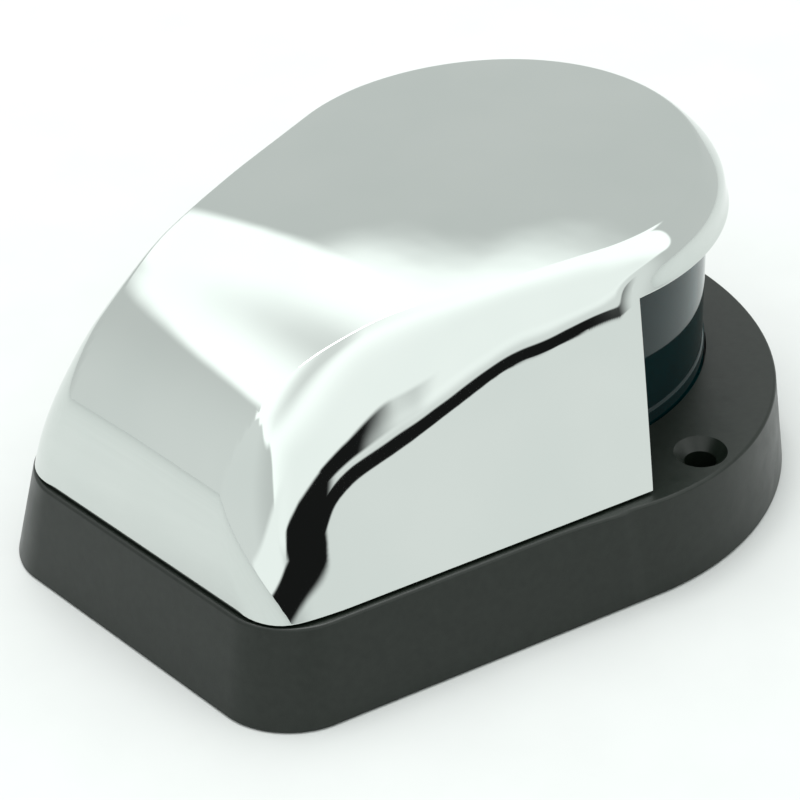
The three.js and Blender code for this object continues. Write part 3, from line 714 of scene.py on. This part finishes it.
MATERIALS = {
    "base_plastic": base_material(),
    "chrome": chrome_material(),
    "lens_green": lens_material("green_lens", (0.0004, 0.034, 0.038), (0.0008, 0.046, 0.051)),
    "lens_red": lens_material("red_lens", (0.20, 0.003, 0.004), (0.26, 0.005, 0.006)),
    "rubber": plain_material("black_rubber", (0.012, 0.012, 0.012), (0.026, 0.025, 0.024), 0.75, 700.0),
    "carrier_plastic": plain_material(
        "grey_moulding", (0.034, 0.036, 0.039), (0.047, 0.049, 0.052), 0.5, 800.0
    ),
    "screen_plastic": plain_material(
        "black_sheet", (0.014, 0.014, 0.014), (0.024, 0.024, 0.024), 0.6, 900.0
    ),
    "bulb_glass": glass_material(),
    "brass": plain_material("tarnished_brass", (0.60, 0.42, 0.17), (0.76, 0.58, 0.28), 0.3, 500.0, 1.0),
    "steel": plain_material("stainless_steel", (0.50, 0.51, 0.52), (0.60, 0.61, 0.62), 0.28, 900.0, 1.0),
    "wire_red": plain_material("red_insulation", (0.38, 0.02, 0.02), (0.48, 0.035, 0.03), 0.45, 900.0),
    "wire_black": plain_material(
        "black_insulation", (0.014, 0.014, 0.014), (0.026, 0.026, 0.026), 0.45, 900.0
    ),
}

# ---------------------------------------------------------------- pieces

piece("hood_shell", make_hood_mesh(), "chrome", MATERIALS["chrome"], "cover")
piece("hood_posts", make_post_mesh(), "chrome", MATERIALS["chrome"])
base = piece("base_moulding", make_base_mesh(), "base_plastic", MATERIALS["base_plastic"], "base")
hold_flats(base)
for slot_name, side in (("lens_green", -1), ("lens_red", 1)):
    lens = piece(f"{slot_name}_drum", make_lens_mesh(side), slot_name, MATERIALS[slot_name], slot_name)
    hold_flats(lens)

for subpart in frame["record"]["subparts"]:
    carried = nodes[subpart["node"]]
    if carried.hide_render:
        continue
    carried.data.materials.clear()
    carried.data.materials.append(MATERIALS[subpart["material_slot"]])

# ---------------------------------------------------------------- studio


class Sky:
    """The studio round the light, as brightness by direction: azimuth and elevation in degrees."""

    def __init__(self):
        self.world = bpy.data.worlds.new("studio")
        bpy.context.scene.world = self.world
        self.world.use_nodes = True
        self.tree = self.world.node_tree
        direction = self.tree.nodes.new("ShaderNodeTexCoord").outputs["Generated"]
        parts = self.tree.nodes.new("ShaderNodeSeparateXYZ")
        self.tree.links.new(direction, parts.inputs["Vector"])
        self.east, self.north = parts.outputs["X"], parts.outputs["Y"]
        height = self.math("ARCSINE", parts.outputs["Z"])
        self.elevation = self.math("DEGREES", height)
        self.azimuth = self.math("DEGREES", self.math("ARCTAN2", parts.outputs["Y"], parts.outputs["X"]))

    def math(self, operation, first, second=None):
        made = self.tree.nodes.new("ShaderNodeMath")
        made.operation = operation
        for socket, value in zip(made.inputs, (first, second)):
            if value is None:
                continue
            if isinstance(value, (int, float)):
                socket.default_value = value
            else:
                self.tree.links.new(value, socket)
        return made.outputs["Value"]

    def times(self, first, second):
        """The product of two values."""
        return self.math("MULTIPLY", first, second)

    def less(self, first, second):
        """The first value less the second."""
        return self.math("SUBTRACT", first, second)

    def step(self, value, start, end):
        """Rises smoothly from 0 at start to 1 at end, and falls if end is the smaller."""
        made = self.tree.nodes.new("ShaderNodeMapRange")
        made.interpolation_type = "SMOOTHSTEP"
        low, high = min(start, end), max(start, end)
        made.inputs["From Min"].default_value = low
        made.inputs["From Max"].default_value = high
        made.inputs["To Min"].default_value = 0.0 if end > start else 1.0
        made.inputs["To Max"].default_value = 1.0 if end > start else 0.0
        self.tree.links.new(value, made.inputs["Value"])
        return made.outputs["Result"]

    def window(self, value, start, end, soft):
        """1 between start and end, fading to 0 over soft degrees at each side."""
        rise = self.step(value, start - soft, start + soft)
        fall = self.step(value, end + soft, end - soft)
        return self.times(rise, fall)

    def skyline(self, stations):
        """An elevation for every azimuth, changing smoothly from one (azimuth, elevation) to the next."""
        height = stations[0][1]
        for (near, low), (far, high) in zip(stations, stations[1:]):
            rise = self.times(self.step(self.azimuth, near, far), float(high - low))
            height = self.math("ADD", rise, height)
        return height

    def blend(self, base_value, factor, other):
        """base_value where factor is 0, and other where it is 1."""
        made = self.tree.nodes.new("ShaderNodeMix")
        made.data_type = "FLOAT"
        for name, value in (("A", base_value), ("B", other)):
            socket = made.inputs[name]
            if isinstance(value, (int, float)):
                socket.default_value = value
            else:
                self.tree.links.new(value, socket)
        self.tree.links.new(factor, made.inputs["Factor"])
        return made.outputs["Result"]


# How bright each part of the studio is.
WALL_TONE = 0.77
ASTERN_TONE = 0.97
ABEAM_TONE = 1.02
SOFTBOX = 1.62
REFLECTOR = 1.3
GAP_TONE = 0.88
DARK_TONE = 0.012
# Where the softboxes begin above the walls, as (azimuth, elevation).
SOFTBOX_EDGE = [
    (-180, 50),
    (-150, 44),
    (-124, 30),
    (-108, 10),
    (-84, 11),
    (-52, 20),
    (-18, 46),
    (22, 46),
    (43, 34.5),
    (50, 31),
    (60, 29),
    (90, 40),
    (130, 41),
    (180, 50),
]
# The gap overhead: the level direction across it, then its half width and softness that way, measured on
# a sky of radius 1. Its foot is an elevation in degrees.
GAP_ACROSS = {"east": 0.966, "north": -0.259}
GAP = {"half_width": 0.2, "soft": 0.17, "strength": 0.85}
GAP_FOOT = {"port": 46.0, "lower_to_starboard": 12.0, "soft_below": 5, "soft_above": 9}
# The middle of the room's dark edge: its height abeam, and how it sinks with the square of the angle astern.
DARK_EDGE = {"height": 8.2, "sinks_from": -80.0, "sink": 0.0032}
# Its parts, thicker astern of abeam and with a second edge above: from, to and softness beside the middle
# line, then from, to and softness in azimuth.
DARK_PARTS = [
    (-1.8, 1.4, 0.25, -158, -75, 4),
    (-3.4, 2.6, 0.5, -156, -91, 1.2),
    (0.0, 6.4, 0.5, -106, -90, 1.2),
    (2.8, 6.6, 0.4, -94, -85.8, 1.2),
]

sky = Sky()
azimuth = sky.azimuth
astern = sky.math("MAXIMUM", sky.step(azimuth, 110, 150), sky.step(azimuth, -110, -150))
tone = sky.blend(WALL_TONE, astern, ASTERN_TONE)
tone = sky.blend(tone, sky.window(azimuth, -104, -62, 8), ABEAM_TONE)
in_softbox = sky.step(sky.less(sky.elevation, sky.skyline(SOFTBOX_EDGE)), -1.0, 2.2)
tone = sky.blend(tone, in_softbox, SOFTBOX)
# The starboard softbox is weaker towards its foot.
low_starboard = sky.times(sky.window(azimuth, -112, -60, 10), sky.step(sky.elevation, 34, 20))
tone = sky.blend(tone, sky.times(low_starboard, in_softbox), REFLECTOR)
# A dim gap between the softboxes runs overhead, and comes lower to starboard than to port.
east, north = sky.times(sky.east, GAP_ACROSS["east"]), sky.times(sky.north, GAP_ACROSS["north"])
off_gap = sky.math("ADD", east, north)
lower = sky.times(sky.step(sky.north, 0.1, -0.1), GAP_FOOT["lower_to_starboard"])
above_foot = sky.less(sky.elevation, sky.less(GAP_FOOT["port"], lower))
across_gap = sky.window(off_gap, -GAP["half_width"], GAP["half_width"], GAP["soft"])
gap = sky.times(across_gap, sky.step(above_foot, -GAP_FOOT["soft_below"], GAP_FOOT["soft_above"]))
tone = sky.blend(tone, sky.times(gap, GAP["strength"]), GAP_TONE)
# The dark edge of the room: level abeam, sinking towards the stern, with a pale reflector above it.
behind = sky.math("MAXIMUM", sky.less(DARK_EDGE["sinks_from"], azimuth), 0.0)
sink = sky.times(sky.times(behind, behind), DARK_EDGE["sink"])
lift = sky.less(sky.math("ADD", sky.elevation, sink), DARK_EDGE["height"])
reflector = sky.times(sky.window(lift, 2.0, 14.0, 1.5), sky.window(azimuth, -163, -108, 5))
tone = sky.blend(tone, reflector, REFLECTOR)
dark = 0.0
for low, high, soft, start, end, fade in DARK_PARTS:
    part = sky.times(sky.window(lift, low, high, soft), sky.window(azimuth, start, end, fade))
    dark = sky.math("MAXIMUM", dark, part)
tone = sky.blend(tone, dark, DARK_TONE)

TINT = {"Red": 0.955, "Green": 1.0, "Blue": 0.98}
tint = sky.tree.nodes.new("ShaderNodeCombineColor")
for channel, share in TINT.items():
    sky.tree.links.new(sky.times(tone, share), tint.inputs[channel])
backdrop = sky.tree.nodes["Background"]
sky.tree.links.new(tint.outputs["Color"], backdrop.inputs["Color"])

FLOOR_REACH = 900
FLOOR_DROP = 0.05
corners = [(x * FLOOR_REACH, y * FLOOR_REACH, 0) for x, y in ((-1, -1), (1, -1), (1, 1), (-1, 1))]
floor_mesh = mesh_of("floor", corners, [(0, 1, 2, 3)])
floor = bpy.data.objects.new("floor", floor_mesh)
bpy.context.scene.collection.objects.link(floor)
floor.location.z = -FLOOR_DROP * MM
floor_mesh.materials.append(
    plain_material("pale_table", (0.60, 0.61, 0.605), (0.62, 0.63, 0.625), 0.7, 60.0, relief=0.02)
)

AIM = Vector((0, 0, 0.02))
key = bpy.data.lights.new("key_softbox", "AREA")
key.shape = "DISK"
key.size = 0.5
key.energy = 3.0
key_lamp = bpy.data.objects.new("key_softbox", key)
bpy.context.scene.collection.objects.link(key_lamp)
key_lamp.location = (0.05, 0.15, 0.75)
key_lamp.rotation_euler = (AIM - key_lamp.location).to_track_quat("-Z", "Y").to_euler()

# ---------------------------------------------------------------- camera

CAMERA_AT = Vector((-174.27, -193.34, 190.71)) * MM
CAMERA_HEADING = math.radians(48.41)
CAMERA_DOWN = math.radians(34.56)
CAMERA_ROLL = math.radians(-3.735)
FOCAL_LENGTH = 104.06

lens_data = bpy.data.cameras.new("camera")
lens_data.sensor_width = 36.0
lens_data.lens = FOCAL_LENGTH
lens_data.clip_start = 0.01
lens_data.clip_end = 20.0
camera = bpy.data.objects.new("camera", lens_data)
bpy.context.scene.collection.objects.link(camera)
ahead, across, level = math.cos(CAMERA_HEADING), math.sin(CAMERA_HEADING), math.cos(CAMERA_DOWN)
forward = Vector((ahead * level, across * level, -math.sin(CAMERA_DOWN)))
level_right = Vector((across, -ahead, 0.0))
level_up = level_right.cross(forward)
right = math.cos(CAMERA_ROLL) * level_right + math.sin(CAMERA_ROLL) * level_up
up = -math.sin(CAMERA_ROLL) * level_right + math.cos(CAMERA_ROLL) * level_up
turn = Matrix((right, up, -forward)).transposed()
camera.matrix_world = Matrix.Translation(CAMERA_AT) @ turn.to_4x4()
bpy.context.scene.camera = camera

bpy.context.scene.view_settings.view_transform = "Standard"
